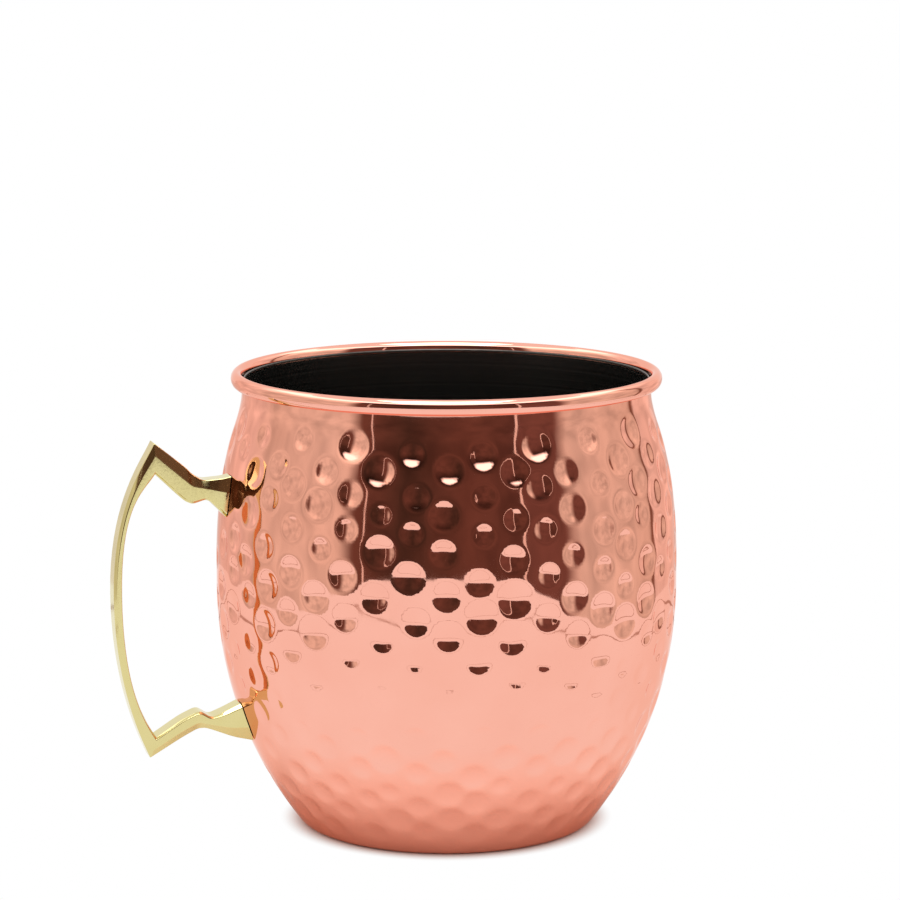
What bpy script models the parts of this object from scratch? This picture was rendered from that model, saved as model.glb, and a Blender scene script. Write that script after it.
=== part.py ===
"""Double-walled ice bucket in the shape of a giant mug, with a cast brass handle.

The barrel is a hammered, copper-plated steel shell whose top edge is rolled outwards into an oval rim.
A plain steel liner drops in through the neck and is soldered to the shell just under the rim.
A pressed plate closes the shell's foot. The handle is one casting, held at each foot by a screw whose
head and washer lie in the air space between the two walls. Nothing on the bucket moves.

The base stands on z = 0, the barrel's axis is Z, and the handle points along -X. Units are metres.
"""

import math
import random

import bmesh
import bpy
from mathutils import Matrix, Vector
from mathutils.geometry import interpolate_bezier

for old in list(bpy.data.objects):
    bpy.data.objects.remove(old, do_unlink=True)

# Driving dimensions of the outer shell, measured on its outside face
HEIGHT = 0.213
RIM_RADIUS = 0.0999
RIM_ROLL_WIDTH = 0.0056
RIM_ROLL_HEIGHT = 0.0072
RIM_ROLL_SWEEP = math.radians(290)
NECK_DROP = 0.010
NECK_FLARE = 0.0135
BELLY_SWELL = 0.0125
BELLY_HEIGHT = 0.122
BELLY_RISE = 0.055
BELLY_DROP = 0.0165
BASE_RADIUS = 0.066
BASE_LEAN = math.radians(37.4)
BASE_SWEEP = 0.066
BASE_CORNER_RADIUS = 0.005
BASE_HOLE_RADIUS = 0.057
SHELL_SHEET = 0.0006

# Hammer marks: staggered columns round the barrel, each the print of a ball-faced hammer
MARK_COLUMNS = 44
MARK_PITCH = 0.0182
MARK_RADIUS = 0.0062
MARK_RADIUS_SPREAD = 0.0014
MARK_DRIFT = 0.0022
HAMMER_RADIUS = 0.015
MARK_TOP = 0.0135
MARK_BOTTOM = 0.012
MARK_SEED = 7

# Liner, measured on the face that is turned to the shell
LINER_SHEET = 0.0006
LINER_DROP = 0.005
LINER_SCREW_GAP = 0.00454
LINER_FLOOR_HEIGHT = 0.008
LINER_FLOOR_RADIUS = 0.050
SEAM_HEIGHT = 0.0012

# Base plate, pressed so that its middle is level with the shell's foot
PLATE_SHEET = 0.0008
PLATE_LIP = 0.005
PLATE_STEP_GAP = 0.001
PLATE_STEP_RUN = 0.0014

# Handle casting
HANDLE_WIDTH = 0.012
HANDLE_FLAT = 0.009
OUTER_BEVEL_SHARE = 0.38
INNER_BEVEL_SHARE = 0.10
UPPER_FOOT_HEIGHT = 0.1588
LOWER_FOOT_HEIGHT = 0.0527
FOOT_LENGTH = 0.019
FOOT_ROOT = 0.008
BOW_REACH = 0.0514
BOW_THICKNESS = 0.0039
BOW_CREST_HEIGHT = 0.1155
BOW_CREST_RUN = 0.043
BOW_SPIKE_RUN = 0.009
BOW_CORNER_RUN = 0.010
BOW_SPIKE_LEAN = math.radians(23)
BOW_CORNER_LEAN = math.radians(33)

# Outline of each arm: (out from the wall, up from the foot) of the outer and then the inner edge
UPPER_ARM = [
    ((0.0019, 0.0086), (0.0035, -0.0069)),
    ((0.0115, 0.0080), (0.0098, -0.0005)),
    ((0.0165, 0.0111), (0.0167, -0.0026)),
    ((0.0198, 0.0147), (0.0207, -0.0008)),
    ((0.0341, 0.0264), (0.0338, 0.0120)),
]
LOWER_ARM = [
    ((0.0062, -0.0067), (0.0101, 0.0058)),
    ((0.0191, -0.0014), (0.0166, 0.0033)),
    ((0.0231, -0.0014), (0.0222, 0.0070)),
    ((0.0304, -0.0050), (0.0303, 0.0035)),
    ((0.0456, -0.0137), (0.0426, -0.0042)),
]

# Handle screws and their washers
SCREW_RADIUS = 0.002
SCREW_HEAD_RADIUS = 0.004
SCREW_HEAD_HEIGHT = 0.0026
SCREW_REACH = 0.0058
SCREW_TIP_CHAMFER = 0.0005
WASHER_RADIUS = 0.0065
WASHER_THICKNESS = 0.001

FIT_GAP = 0.0003

# Fineness of the round shapes
ROUND_STEPS = 2 * MARK_COLUMNS
SCREW_STEPS = 20
CURVE_STEPS = 60
ROLL_STEPS = 6
CORNER_STEPS = 2
LINER_STEPS = 8
BOW_STEPS = 7
CREASE = math.radians(30)

UP = Vector((0.0, 1.0))
NECK_RADIUS = RIM_RADIUS - RIM_ROLL_WIDTH + SHELL_SHEET
NECK_HEIGHT = HEIGHT - NECK_DROP
BELLY_RADIUS = NECK_RADIUS + BELLY_SWELL


def new_collection(name):
    """A collection linked to the scene."""
    group = bpy.data.collections.new(name)
    bpy.context.scene.collection.children.link(group)
    return group


PARTS = new_collection("ice_bucket")
CUTTERS = new_collection("cutters")


def material(name, color, roughness):
    """A bare metal with the given colour and polish."""
    made = bpy.data.materials.new(name)
    made.use_nodes = True
    shader = made.node_tree.nodes["Principled BSDF"]
    shader.inputs["Base Color"].default_value = (*color, 1.0)
    shader.inputs["Metallic"].default_value = 1.0
    shader.inputs["Roughness"].default_value = roughness
    return made


def add_object(name, bm, group, metal=None, crease=CREASE):
    """Turn a finished bmesh into a smooth-shaded object of the group, creased at its corners."""
    mesh = bpy.data.meshes.new(name)
    bm.to_mesh(mesh)
    bm.free()
    mesh.shade_smooth()
    if crease:
        mesh.set_sharp_from_angle(angle=crease)
    made = bpy.data.objects.new(name, mesh)
    group.objects.link(made)
    if metal:
        mesh.materials.append(metal)
    else:
        made.hide_render = True
        made.display_type = "WIRE"
    return made


def add_cut(target, cutter):
    """Take the cutter's volume out of the target."""
    cut = target.modifiers.new(f"cut_{cutter.name}", "BOOLEAN")
    cut.operation = "DIFFERENCE"
    cut.solver = "EXACT"
    cut.object = cutter


def add_sheet(target, thickness):
    """Give an open surface its sheet thickness, on the side that its faces turn away from."""
    sheet = target.modifiers.new("sheet", "SOLIDIFY")
    sheet.thickness = thickness
    sheet.offset = -1.0
    sheet.use_even_offset = True


def profile_mesh(points, closed):
    """A wire profile in the XZ plane from (radius, height) points."""
    bm = bmesh.new()
    verts = [bm.verts.new((radius, 0.0, height)) for radius, height in points]
    for first, second in zip(verts, verts[1:]):
        bm.edges.new((first, second))
    if closed:
        bm.edges.new((verts[-1], verts[0]))
    return bm


def turned(name, points, group, metal=None, closed=False, steps=ROUND_STEPS):
    """A profile turned round the object's Z axis, given from the top down its outer side."""
    made = add_object(name, profile_mesh(points, closed), group, metal)
    turn = made.modifiers.new("turn", "SCREW")
    turn.axis = "Z"
    turn.angle = math.tau
    turn.steps = steps
    turn.render_steps = steps
    turn.use_merge_vertices = True
    turn.merge_threshold = 1e-6
    turn.use_smooth_shade = True
    return made


# The barrel's outside face, shared by the shell, the handle's feet and the screws


def arc(center, radius, start, sweep, steps):
    """Points on an arc in the profile plane, both ends included."""
    angles = [start + sweep * step / steps for step in range(steps + 1)]
    return [center + radius * Vector((math.cos(a), math.sin(a))) for a in angles]


def barrel_curve():
    """Outside face from the bottom of the neck, over the belly, to the start of the base corner."""
    neck = Vector((NECK_RADIUS, NECK_HEIGHT))
    belly = Vector((BELLY_RADIUS, BELLY_HEIGHT))
    lean = Vector((math.sin(BASE_LEAN), math.cos(BASE_LEAN)))
    corner = Vector((BASE_RADIUS, BASE_CORNER_RADIUS))
    foot = corner + BASE_CORNER_RADIUS * Vector((lean.y, -lean.x))
    upper = interpolate_bezier(neck, neck - NECK_FLARE * UP, belly + BELLY_RISE * UP, belly, CURVE_STEPS)
    lower = interpolate_bezier(belly, belly - BELLY_DROP * UP, foot + BASE_SWEEP * lean, foot, CURVE_STEPS)
    return upper + lower[1:]


BARREL = barrel_curve()
BARREL_LENGTH = sum((b - a).length for a, b in zip(BARREL, BARREL[1:]))


def barrel_point(distance):
    """Point of the outside face at a distance along it from the neck, and its outward normal."""
    for first, second in zip(BARREL, BARREL[1:]):
        step = (second - first).length
        if distance <= step or second is BARREL[-1]:
            along = (second - first) / step
            return first + distance * along, Vector((-along.y, along.x))
        distance -= step


def barrel_at_height(height):
    """Point of the outside face at a height, and its outward normal."""
    for first, second in zip(BARREL, BARREL[1:]):
        if second.y <= height:
            share = (first.y - height) / (first.y - second.y)
            along = (second - first).normalized()
            return first.lerp(second, share), Vector((-along.y, along.x))


# Outer shell: one sheet with its rolled rim, hammered wall, base corner and inturned foot

MARK_SPAN = BARREL_LENGTH - MARK_TOP - MARK_BOTTOM
MARK_ROWS = round(2 * MARK_SPAN / MARK_PITCH)
MARK_STEP = MARK_SPAN / MARK_ROWS


def row_distance(row):
    """Distance from the neck of a row of marks; each column uses every second row."""
    return MARK_TOP + row * MARK_STEP


def clear_of_feet(angle, point):
    """Whether a mark at this place leaves smooth wall under the handle's feet."""
    sideways = abs(point.x * math.sin(angle))
    if math.cos(angle) > 0 or sideways > HANDLE_WIDTH / 2 + MARK_STEP:
        return True
    feet = (UPPER_FOOT_HEIGHT, LOWER_FOOT_HEIGHT)
    return all(abs(point.y - foot) > FOOT_LENGTH / 2 + MARK_STEP for foot in feet)


def hammer_marks():
    """Depth, angle and distance from the neck of each mark, by its column and row."""
    rng = random.Random(MARK_SEED)
    marks = {}
    for column in range(0, ROUND_STEPS, 2):
        for row in range(column // 2 % 2, MARK_ROWS + 1, 2):
            radius = MARK_RADIUS + rng.uniform(-MARK_RADIUS_SPREAD, MARK_RADIUS_SPREAD)
            depth = radius**2 / (2 * HAMMER_RADIUS)
            distance = row_distance(row) + rng.uniform(-MARK_DRIFT, MARK_DRIFT)
            point, _ = barrel_point(distance)
            angle = math.tau * column / ROUND_STEPS + rng.uniform(-MARK_DRIFT, MARK_DRIFT) / point.x
            if clear_of_feet(angle, point):
                marks[column, row] = (depth, angle, distance)
    return marks


def rim_profile():
    """Inside of the rolled rim, an upright oval, from the sheet's rolled edge round to the neck."""
    half = Vector((RIM_ROLL_WIDTH, RIM_ROLL_HEIGHT)) / 2
    center = Vector((RIM_RADIUS, HEIGHT)) - half
    reach = half - Vector((SHELL_SHEET, SHELL_SHEET))
    turn = arc(Vector((0.0, 0.0)), 1.0, math.pi - RIM_ROLL_SWEEP, RIM_ROLL_SWEEP, ROLL_STEPS)
    return [center + reach * step for step in turn]


def foot_profile():
    """Base corner and inturned foot, from the end of the wall to the hole."""
    center = Vector((BASE_RADIUS, BASE_CORNER_RADIUS))
    corner = arc(center, BASE_CORNER_RADIUS, -BASE_LEAN, BASE_LEAN - math.pi / 2, CORNER_STEPS)
    return [*corner, Vector((BASE_HOLE_RADIUS, 0.0))]


def outer_shell(metal):
    """Spin the sheet's outside face, stagger the wall's rows and press every mark in."""
    rim = [*rim_profile(), BARREL[0]]
    wall = [barrel_point(row_distance(row))[0] for row in range(MARK_ROWS + 1)]
    bm = profile_mesh(rim + wall + foot_profile(), closed=False)
    row_of = bm.verts.layers.int.new("row")
    for place, vert in enumerate(bm.verts):
        vert[row_of] = place - len(rim)
    bmesh.ops.spin(
        bm,
        geom=bm.verts[:] + bm.edges[:],
        axis=(0.0, 0.0, 1.0),
        angle=math.tau,
        steps=ROUND_STEPS,
        use_merge=True,
    )
    marks = hammer_marks()
    wall_verts = [vert for vert in bm.verts if 0 <= vert[row_of] <= MARK_ROWS]
    pressed = []
    for vert in wall_verts:
        angle = math.atan2(vert.co.y, vert.co.x)
        column = round(angle / math.tau * ROUND_STEPS) % ROUND_STEPS
        place = (column, vert[row_of])
        if place in marks:
            pressed.append(vert)
        distance = row_distance(vert[row_of] + 0.5 * (column % 2))
        depth, angle, distance = marks.get(place, (0.0, angle, distance))
        point, normal = barrel_point(distance)
        point = point - depth * normal
        vert.co = (point.x * math.cos(angle), point.x * math.sin(angle), point.y)
    wall_faces = {face for vert in wall_verts for face in vert.link_faces}
    bmesh.ops.triangulate(bm, faces=list(wall_faces), quad_method="SHORT_EDGE")
    for vert in pressed:
        for edge in {edge for face in vert.link_faces for edge in face.edges}:
            edge.smooth = vert in edge.verts
    made = add_object("outer_shell", bm, PARTS, metal, crease=None)
    add_sheet(made, SHELL_SHEET)
    return made


# Liner, with the soldered seam that joins its edge to the shell

LINER_RADIUS = NECK_RADIUS - SHELL_SHEET - FIT_GAP
LINER_TOP = HEIGHT - LINER_DROP


def liner_bend_height():
    """Where the straight wall ends, for a round bottom that passes the lower screw's head at its gap."""
    head = screw_head_end(LOWER_FOOT_HEIGHT)
    share = (head.x - LINER_SCREW_GAP - LINER_FLOOR_RADIUS) / (LINER_RADIUS - LINER_FLOOR_RADIUS)
    drop = math.sqrt(1.0 - min(share, 1.0) ** 2)
    return (head.y - drop * LINER_FLOOR_HEIGHT) / (1.0 - drop)


def inner_liner(metal):
    """Straight-walled cup with a round bottom, small enough to pass through the neck."""
    bend = Vector((LINER_FLOOR_RADIUS, liner_bend_height()))
    reach = Vector((LINER_RADIUS - bend.x, bend.y - LINER_FLOOR_HEIGHT))
    quarter = arc(Vector((0.0, 0.0)), 1.0, 0.0, -math.pi / 2, LINER_STEPS)
    bottom = [bend + reach * step for step in quarter]
    profile = [(LINER_RADIUS, LINER_TOP), *bottom, (0.0, LINER_FLOOR_HEIGHT)]
    made = turned("inner_liner", profile, PARTS, metal)
    add_sheet(made, LINER_SHEET)
    return made


def rim_seam(metal):
    """Ring of solder on the liner's edge, sloped so that it drains into the liner."""
    outside = LINER_RADIUS
    inside = LINER_RADIUS - LINER_SHEET
    foot = LINER_TOP + FIT_GAP
    top = foot + SEAM_HEIGHT
    middle = (foot + top) / 2
    profile = [(outside, top), (outside, foot), (inside, foot), (inside, middle)]
    return turned("rim_seam", profile, PARTS, metal, closed=True)


def base_plate(metal):
    """Pressed disc: its lip lies on the shell's inturned foot and its middle fills the hole."""
    lip_height = SHELL_SHEET + FIT_GAP
    step = BASE_HOLE_RADIUS - PLATE_STEP_GAP
    profile = [
        (BASE_HOLE_RADIUS + PLATE_LIP, lip_height),
        (step, lip_height),
        (step - PLATE_STEP_RUN, 0.0),
        (0.0, 0.0),
    ]
    made = turned("base_plate", profile, PARTS, metal)
    add_sheet(made, PLATE_SHEET)
    return made


# Handle: an eight-sided bar lofted from the upper foot, round the bow, to the lower foot


def arm_sections(arm, foot_height, outer_side):
    """Outer and inner edge points of an arm, starting with its root inside the barrel."""
    wall, normal = barrel_at_height(foot_height)
    half_foot = outer_side * FOOT_LENGTH / 2 * Vector((-normal.y, normal.x))
    root = wall - FOOT_ROOT * normal
    sections = [(root + half_foot, root - half_foot), (wall + half_foot, wall - half_foot)]
    for outer, inner in arm:
        sections.append((wall + Vector(outer), wall + Vector(inner)))
    return sections


def bow_edge(start, end, crest_radius, lean, run):
    """Points from one end of the bow over its crest to the other, without the two ends."""
    crest = Vector((crest_radius, BOW_CREST_HEIGHT))
    leave = start + run * Vector((math.sin(lean), -math.cos(lean)))
    arrive = end + run * Vector((math.sin(lean), math.cos(lean)))
    steps = BOW_STEPS + 1
    upper = interpolate_bezier(start, leave, crest + BOW_CREST_RUN * UP, crest, steps)
    lower = interpolate_bezier(crest, crest - BOW_CREST_RUN * UP, arrive, end, steps)
    return upper[1:] + lower[1:-1]


def section_ring(bm, outer, inner):
    """Eight-sided section: narrow flats outside and inside, bevels, and two side faces."""
    corners = [
        (0.0, HANDLE_FLAT / 2),
        (INNER_BEVEL_SHARE, HANDLE_WIDTH / 2),
        (1.0 - OUTER_BEVEL_SHARE, HANDLE_WIDTH / 2),
        (1.0, HANDLE_FLAT / 2),
    ]
    corners += [(share, -across) for share, across in reversed(corners)]
    verts = []
    for share, across in corners:
        point = inner.lerp(outer, share)
        verts.append(bm.verts.new((-point.x, across, point.y)))
    return [bm.edges.new((verts[k - 1], verts[k])) for k in range(len(verts))]


def handle(metal):
    """Loft the sections, cap the two roots and cut them to the barrel."""
    upper = arm_sections(UPPER_ARM, UPPER_FOOT_HEIGHT, 1)
    lower = arm_sections(LOWER_ARM, LOWER_FOOT_HEIGHT, -1)
    crest = BELLY_RADIUS + BOW_REACH
    outer = bow_edge(upper[-1][0], lower[-1][0], crest, BOW_SPIKE_LEAN, BOW_SPIKE_RUN)
    inner = bow_edge(upper[-1][1], lower[-1][1], crest - BOW_THICKNESS, BOW_CORNER_LEAN, BOW_CORNER_RUN)
    sections = upper + list(zip(outer, inner)) + lower[::-1]
    bm = bmesh.new()
    rings = [section_ring(bm, *section) for section in sections]
    for first, second in zip(rings, rings[1:]):
        bmesh.ops.bridge_loops(bm, edges=first + second)
    for ring in (rings[0], rings[-1]):
        bmesh.ops.contextual_create(bm, geom=ring)
    bmesh.ops.recalc_face_normals(bm, faces=bm.faces)
    return add_object("handle", bm, PARTS, metal)


def barrel_cutter():
    """The barrel with a fit gap round it, solid, to shape the handle's feet."""
    points = []
    for row in range(MARK_ROWS + 1):
        point, normal = barrel_point(row_distance(row))
        points.append(point + FIT_GAP * normal)
    profile = [(0.0, points[0].y), *points, (0.0, points[-1].y)]
    return turned("barrel_cutter", profile, CUTTERS)


# Screws and washers of the handle, one set at each foot


def foot_frame(foot_height):
    """Placement on the shell's outside under a foot, with Z pointing out of the wall."""
    point, normal = barrel_at_height(foot_height)
    place = Matrix.Translation((-point.x, 0.0, point.y))
    outward = Vector((-normal.x, 0.0, normal.y))
    return place @ outward.to_track_quat("Z", "Y").to_matrix().to_4x4()


def washer_seat(foot_height):
    """Depth under the shell's outside at which a flat washer clears the curved wall."""
    radius = barrel_at_height(foot_height)[0].x - SHELL_SHEET
    sag = radius - math.sqrt(radius**2 - WASHER_RADIUS**2)
    return SHELL_SHEET + FIT_GAP + sag


def screw_seat(foot_height):
    """Depth under the shell's outside at which a screw's head bears on its washer."""
    return washer_seat(foot_height) + WASHER_THICKNESS + FIT_GAP


def screw_head_end(foot_height):
    """Middle of the end of a screw's head, in the profile plane."""
    wall, normal = barrel_at_height(foot_height)
    return wall - (screw_seat(foot_height) + SCREW_HEAD_HEIGHT) * normal


def handle_washer(name, foot_height, metal):
    """Flat washer inside the shell."""
    top = -washer_seat(foot_height)
    bottom = top - WASHER_THICKNESS
    hole = SCREW_RADIUS + FIT_GAP
    profile = [(WASHER_RADIUS, top), (WASHER_RADIUS, bottom), (hole, bottom), (hole, top)]
    made = turned(name, profile, PARTS, metal, closed=True, steps=SCREW_STEPS)
    made.matrix_world = foot_frame(foot_height)
    return made


def handle_screw(name, foot_height, metal):
    """Pan-head screw, from its tip in the handle to its head under the washer."""
    seat = -screw_seat(foot_height)
    bottom = seat - SCREW_HEAD_HEIGHT
    crown = SCREW_HEAD_HEIGHT / 2
    profile = [
        (0.0, SCREW_REACH),
        (SCREW_RADIUS - SCREW_TIP_CHAMFER, SCREW_REACH),
        (SCREW_RADIUS, SCREW_REACH - SCREW_TIP_CHAMFER),
        (SCREW_RADIUS, seat),
        (SCREW_HEAD_RADIUS, seat),
        (SCREW_HEAD_RADIUS, bottom + crown),
        (SCREW_HEAD_RADIUS - crown, bottom),
        (0.0, bottom),
    ]
    made = turned(name, profile, PARTS, metal, steps=SCREW_STEPS)
    made.matrix_world = foot_frame(foot_height)
    return made


def hole_cutter(name, foot_height):
    """Clearance hole through the shell and into the handle's foot."""
    top = SCREW_REACH + FIT_GAP
    bottom = -washer_seat(foot_height) - WASHER_THICKNESS
    radius = SCREW_RADIUS + FIT_GAP
    profile = [(0.0, top), (radius, top), (radius, bottom), (0.0, bottom)]
    made = turned(name, profile, CUTTERS, steps=SCREW_STEPS)
    made.matrix_world = foot_frame(foot_height)
    return made


# The whole bucket

COPPER_PLATE = material("copper_plate", (0.80, 0.37, 0.27), 0.12)
STEEL = material("stainless_steel", (0.50, 0.49, 0.48), 0.25)
SOLDER = material("silver_solder", (0.62, 0.60, 0.57), 0.35)
BRASS = material("cast_brass", (0.74, 0.60, 0.28), 0.15)
ZINC = material("zinc_plated_steel", (0.55, 0.56, 0.58), 0.35)

shell = outer_shell(COPPER_PLATE)
grip = handle(BRASS)
pieces = [shell, grip, inner_liner(STEEL), rim_seam(SOLDER), base_plate(COPPER_PLATE)]
add_cut(grip, barrel_cutter())
for side, height in (("upper", UPPER_FOOT_HEIGHT), ("lower", LOWER_FOOT_HEIGHT)):
    hole = hole_cutter(f"{side}_screw_hole", height)
    add_cut(shell, hole)
    add_cut(grip, hole)
    pieces.append(handle_washer(f"{side}_handle_washer", height, ZINC))
    pieces.append(handle_screw(f"{side}_handle_screw", height, ZINC))

bucket = bpy.data.objects.new("bucket", None)
PARTS.objects.link(bucket)
for piece in pieces:
    piece.parent = bucket
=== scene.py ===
import math
import random

import bmesh
import bpy
from mathutils import Matrix, Vector
from mathutils.geometry import interpolate_bezier
from mathutils.kdtree import KDTree


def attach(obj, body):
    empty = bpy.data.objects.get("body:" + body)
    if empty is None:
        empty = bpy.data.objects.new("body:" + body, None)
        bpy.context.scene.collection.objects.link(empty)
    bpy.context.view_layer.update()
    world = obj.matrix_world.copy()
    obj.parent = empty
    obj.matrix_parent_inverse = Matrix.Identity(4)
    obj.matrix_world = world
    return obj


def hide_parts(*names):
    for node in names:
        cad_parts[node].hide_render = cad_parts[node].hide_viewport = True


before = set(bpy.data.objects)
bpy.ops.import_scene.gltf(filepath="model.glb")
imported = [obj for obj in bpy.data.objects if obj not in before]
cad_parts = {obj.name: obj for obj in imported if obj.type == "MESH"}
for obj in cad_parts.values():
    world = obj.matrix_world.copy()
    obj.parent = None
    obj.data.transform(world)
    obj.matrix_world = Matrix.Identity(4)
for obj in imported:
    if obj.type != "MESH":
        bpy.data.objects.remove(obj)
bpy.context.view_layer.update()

# Outer shell: one sheet of steel, drawn to a barrel, struck all over with a ball-faced hammer, copper
# plated and polished. Its top edge is rolled outwards into the oval rim, and its foot is turned in
# under the barrel to carry the base plate. Sizes are in metres, on the sheet's outside face.

HEIGHT = 0.213
RIM_RADIUS = 0.0999
RIM_ROLL_WIDTH = 0.0056
RIM_ROLL_HEIGHT = 0.0072
RIM_ROLL_SWEEP = math.radians(290)
NECK_DROP = 0.010
NECK_FLARE = 0.0135
BELLY_SWELL = 0.0125
BELLY_HEIGHT = 0.122
BELLY_RISE = 0.055
BELLY_DROP = 0.0165
BASE_RADIUS = 0.066
BASE_LEAN = math.radians(37.4)
BASE_SWEEP = 0.066
BASE_CORNER_RADIUS = 0.005
BASE_HOLE_RADIUS = 0.057
SHELL_SHEET = 0.0006

NECK_RADIUS = RIM_RADIUS - RIM_ROLL_WIDTH + SHELL_SHEET
NECK_HEIGHT = HEIGHT - NECK_DROP
BELLY_RADIUS = NECK_RADIUS + BELLY_SWELL

BARREL_CURVE_STEPS = 200
SHELL_STEPS = 460
ROLL_STEPS = 13
OUTSIDE_ROW = 0.00145
INSIDE_ROW = 0.007
CORNER_STEPS = 5
MERGE_DISTANCE = 0.000001
SHELL_CREASE = math.radians(60)


def toward(angle):
    """Unit vector at an angle in the profile plane of radius and height."""
    return Vector((math.cos(angle), math.sin(angle)))


def barrel_curve():
    """Outside face from the bottom of the neck, over the belly, to the start of the base corner."""
    up = Vector((0.0, 1.0))
    neck = Vector((NECK_RADIUS, NECK_HEIGHT))
    belly = Vector((BELLY_RADIUS, BELLY_HEIGHT))
    lean = Vector((math.sin(BASE_LEAN), math.cos(BASE_LEAN)))
    foot = Vector((BASE_RADIUS, BASE_CORNER_RADIUS)) + BASE_CORNER_RADIUS * toward(-BASE_LEAN)
    steps = BARREL_CURVE_STEPS
    upper = interpolate_bezier(neck, neck - NECK_FLARE * up, belly + BELLY_RISE * up, belly, steps)
    lower = interpolate_bezier(belly, belly - BELLY_DROP * up, foot + BASE_SWEEP * lean, foot, steps)
    return upper + lower[1:]


BARREL = barrel_curve()
BARREL_LENGTH = sum((b - a).length for a, b in zip(BARREL, BARREL[1:]))


def barrel_point(distance):
    """Point of the outside face at a distance along it from the neck, and its outward normal."""
    for first, second in zip(BARREL, BARREL[1:]):
        step = (second - first).length
        if distance <= step or second is BARREL[-1]:
            along = (second - first) / step
            return first + distance * along, Vector((-along.y, along.x))
        distance -= step


def sheet_stations(row):
    """Stations along the sheet from its rolled edge to the hole in its foot, with the wall's rows this
    far apart: the point on the outside face, the normal there, and whether the hammer reaches it."""
    stations = []
    roll = Vector((RIM_ROLL_WIDTH, RIM_ROLL_HEIGHT)) / 2
    for step in range(ROLL_STEPS + 1):
        spoke = toward(math.pi - RIM_ROLL_SWEEP * (1 - step / ROLL_STEPS))
        normal = -Vector((spoke.x / roll.x, spoke.y / roll.y)).normalized()
        crown = Vector((RIM_RADIUS, HEIGHT)) - roll + roll * spoke
        stations.append((crown + SHELL_SHEET * normal, normal, False))
    wall_rows = round(BARREL_LENGTH / row)
    for step in range(wall_rows + 1):
        stations.append((*barrel_point(BARREL_LENGTH * step / wall_rows), True))
    corner_center = Vector((BASE_RADIUS, BASE_CORNER_RADIUS))
    for step in range(1, CORNER_STEPS + 1):
        spoke = toward(-BASE_LEAN - (math.pi / 2 - BASE_LEAN) * step / CORNER_STEPS)
        stations.append((corner_center + BASE_CORNER_RADIUS * spoke, spoke, False))
    stations.append((Vector((BASE_HOLE_RADIUS, 0.0)), toward(-math.pi / 2), False))
    return stations


# The hammer's marks lie in staggered columns, as even as a practised hand keeps them. Each is the print
# of the ball face, steeper at its lip, and eases into the wall where the thin sheet is drawn in. The
# blows get lighter towards the foot.
MARK_COLUMNS = 44
MARK_PITCH = 0.0182
MARK_RADIUS = 0.0062
MARK_RADIUS_SPREAD = 0.0014
MARK_DRIFT = 0.0022
MARK_TOP = 0.0135
MARK_BOTTOM = 0.012
MARK_SEED = 7
MARK_SHOULDER = 0.25
MARK_SLOPE = 0.24
MARK_LIP_SLOPE = 0.12
MARK_LIP_POWER = 6
MARK_LIGHT_START = 0.130
MARK_LIGHTEST = 0.40

# Where the handle's feet stand on the wall, which the hammer leaves plain
HANDLE_WIDTH = 0.012
UPPER_FOOT_HEIGHT = 0.1588
LOWER_FOOT_HEIGHT = 0.0527
FOOT_LENGTH = 0.019


def hammer_marks():
    """Center, radius and force of each mark on the barrel, none of them under the handle's feet."""
    span = BARREL_LENGTH - MARK_TOP - MARK_BOTTOM
    rows = round(2 * span / MARK_PITCH)
    step = span / rows
    rng = random.Random(MARK_SEED)
    marks = []
    for column in range(MARK_COLUMNS):
        for row in range(column % 2, rows + 1, 2):
            radius = MARK_RADIUS + rng.uniform(-MARK_RADIUS_SPREAD, MARK_RADIUS_SPREAD)
            distance = MARK_TOP + row * step + rng.uniform(-MARK_DRIFT, MARK_DRIFT)
            point, _ = barrel_point(distance)
            angle = math.tau * column / MARK_COLUMNS + rng.uniform(-MARK_DRIFT, MARK_DRIFT) / point.x
            center = Vector((point.x * math.cos(angle), point.x * math.sin(angle), point.y))
            beside_handle = center.x < 0 and abs(center.y) < HANDLE_WIDTH / 2 + step
            feet = (UPPER_FOOT_HEIGHT, LOWER_FOOT_HEIGHT)
            near_foot = any(abs(center.z - foot) < FOOT_LENGTH / 2 + step for foot in feet)
            down = max(0.0, distance - MARK_LIGHT_START) / (BARREL_LENGTH - MARK_LIGHT_START)
            force = 1 - (1 - MARK_LIGHTEST) * down
            if not (beside_handle and near_foot):
                marks.append((center, radius, force))
    return marks


MARKS = hammer_marks()
MARK_TREE = KDTree(len(MARKS))
for number, (mark_center, _, _) in enumerate(MARKS):
    MARK_TREE.insert(mark_center, number)
MARK_TREE.balance()
MARK_REACH = (MARK_RADIUS + MARK_RADIUS_SPREAD) * (1 + MARK_SHOULDER / 2)


def mark_depth(place):
    """How far the hammer drove this place of the wall in."""
    deepest = 0.0
    for _, number, distance in MARK_TREE.find_range(place, MARK_REACH):
        _, radius, force = MARKS[number]
        edge = radius * (1 - MARK_SHOULDER / 2)
        shoulder = radius * MARK_SHOULDER
        share = min(distance / edge, 1.0)
        left = max(0.0, 1 - max(0.0, distance - edge) / shoulder)
        eased_in = (MARK_SLOPE + MARK_LIP_SLOPE) * shoulder * left**2 / 2
        ball_print = MARK_SLOPE * edge * (1 - share**2) / 2
        lip_print = MARK_LIP_SLOPE * edge * (1 - share**MARK_LIP_POWER) / MARK_LIP_POWER
        deepest = max(deepest, force * (eased_in + ball_print + lip_print))
    return deepest


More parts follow.
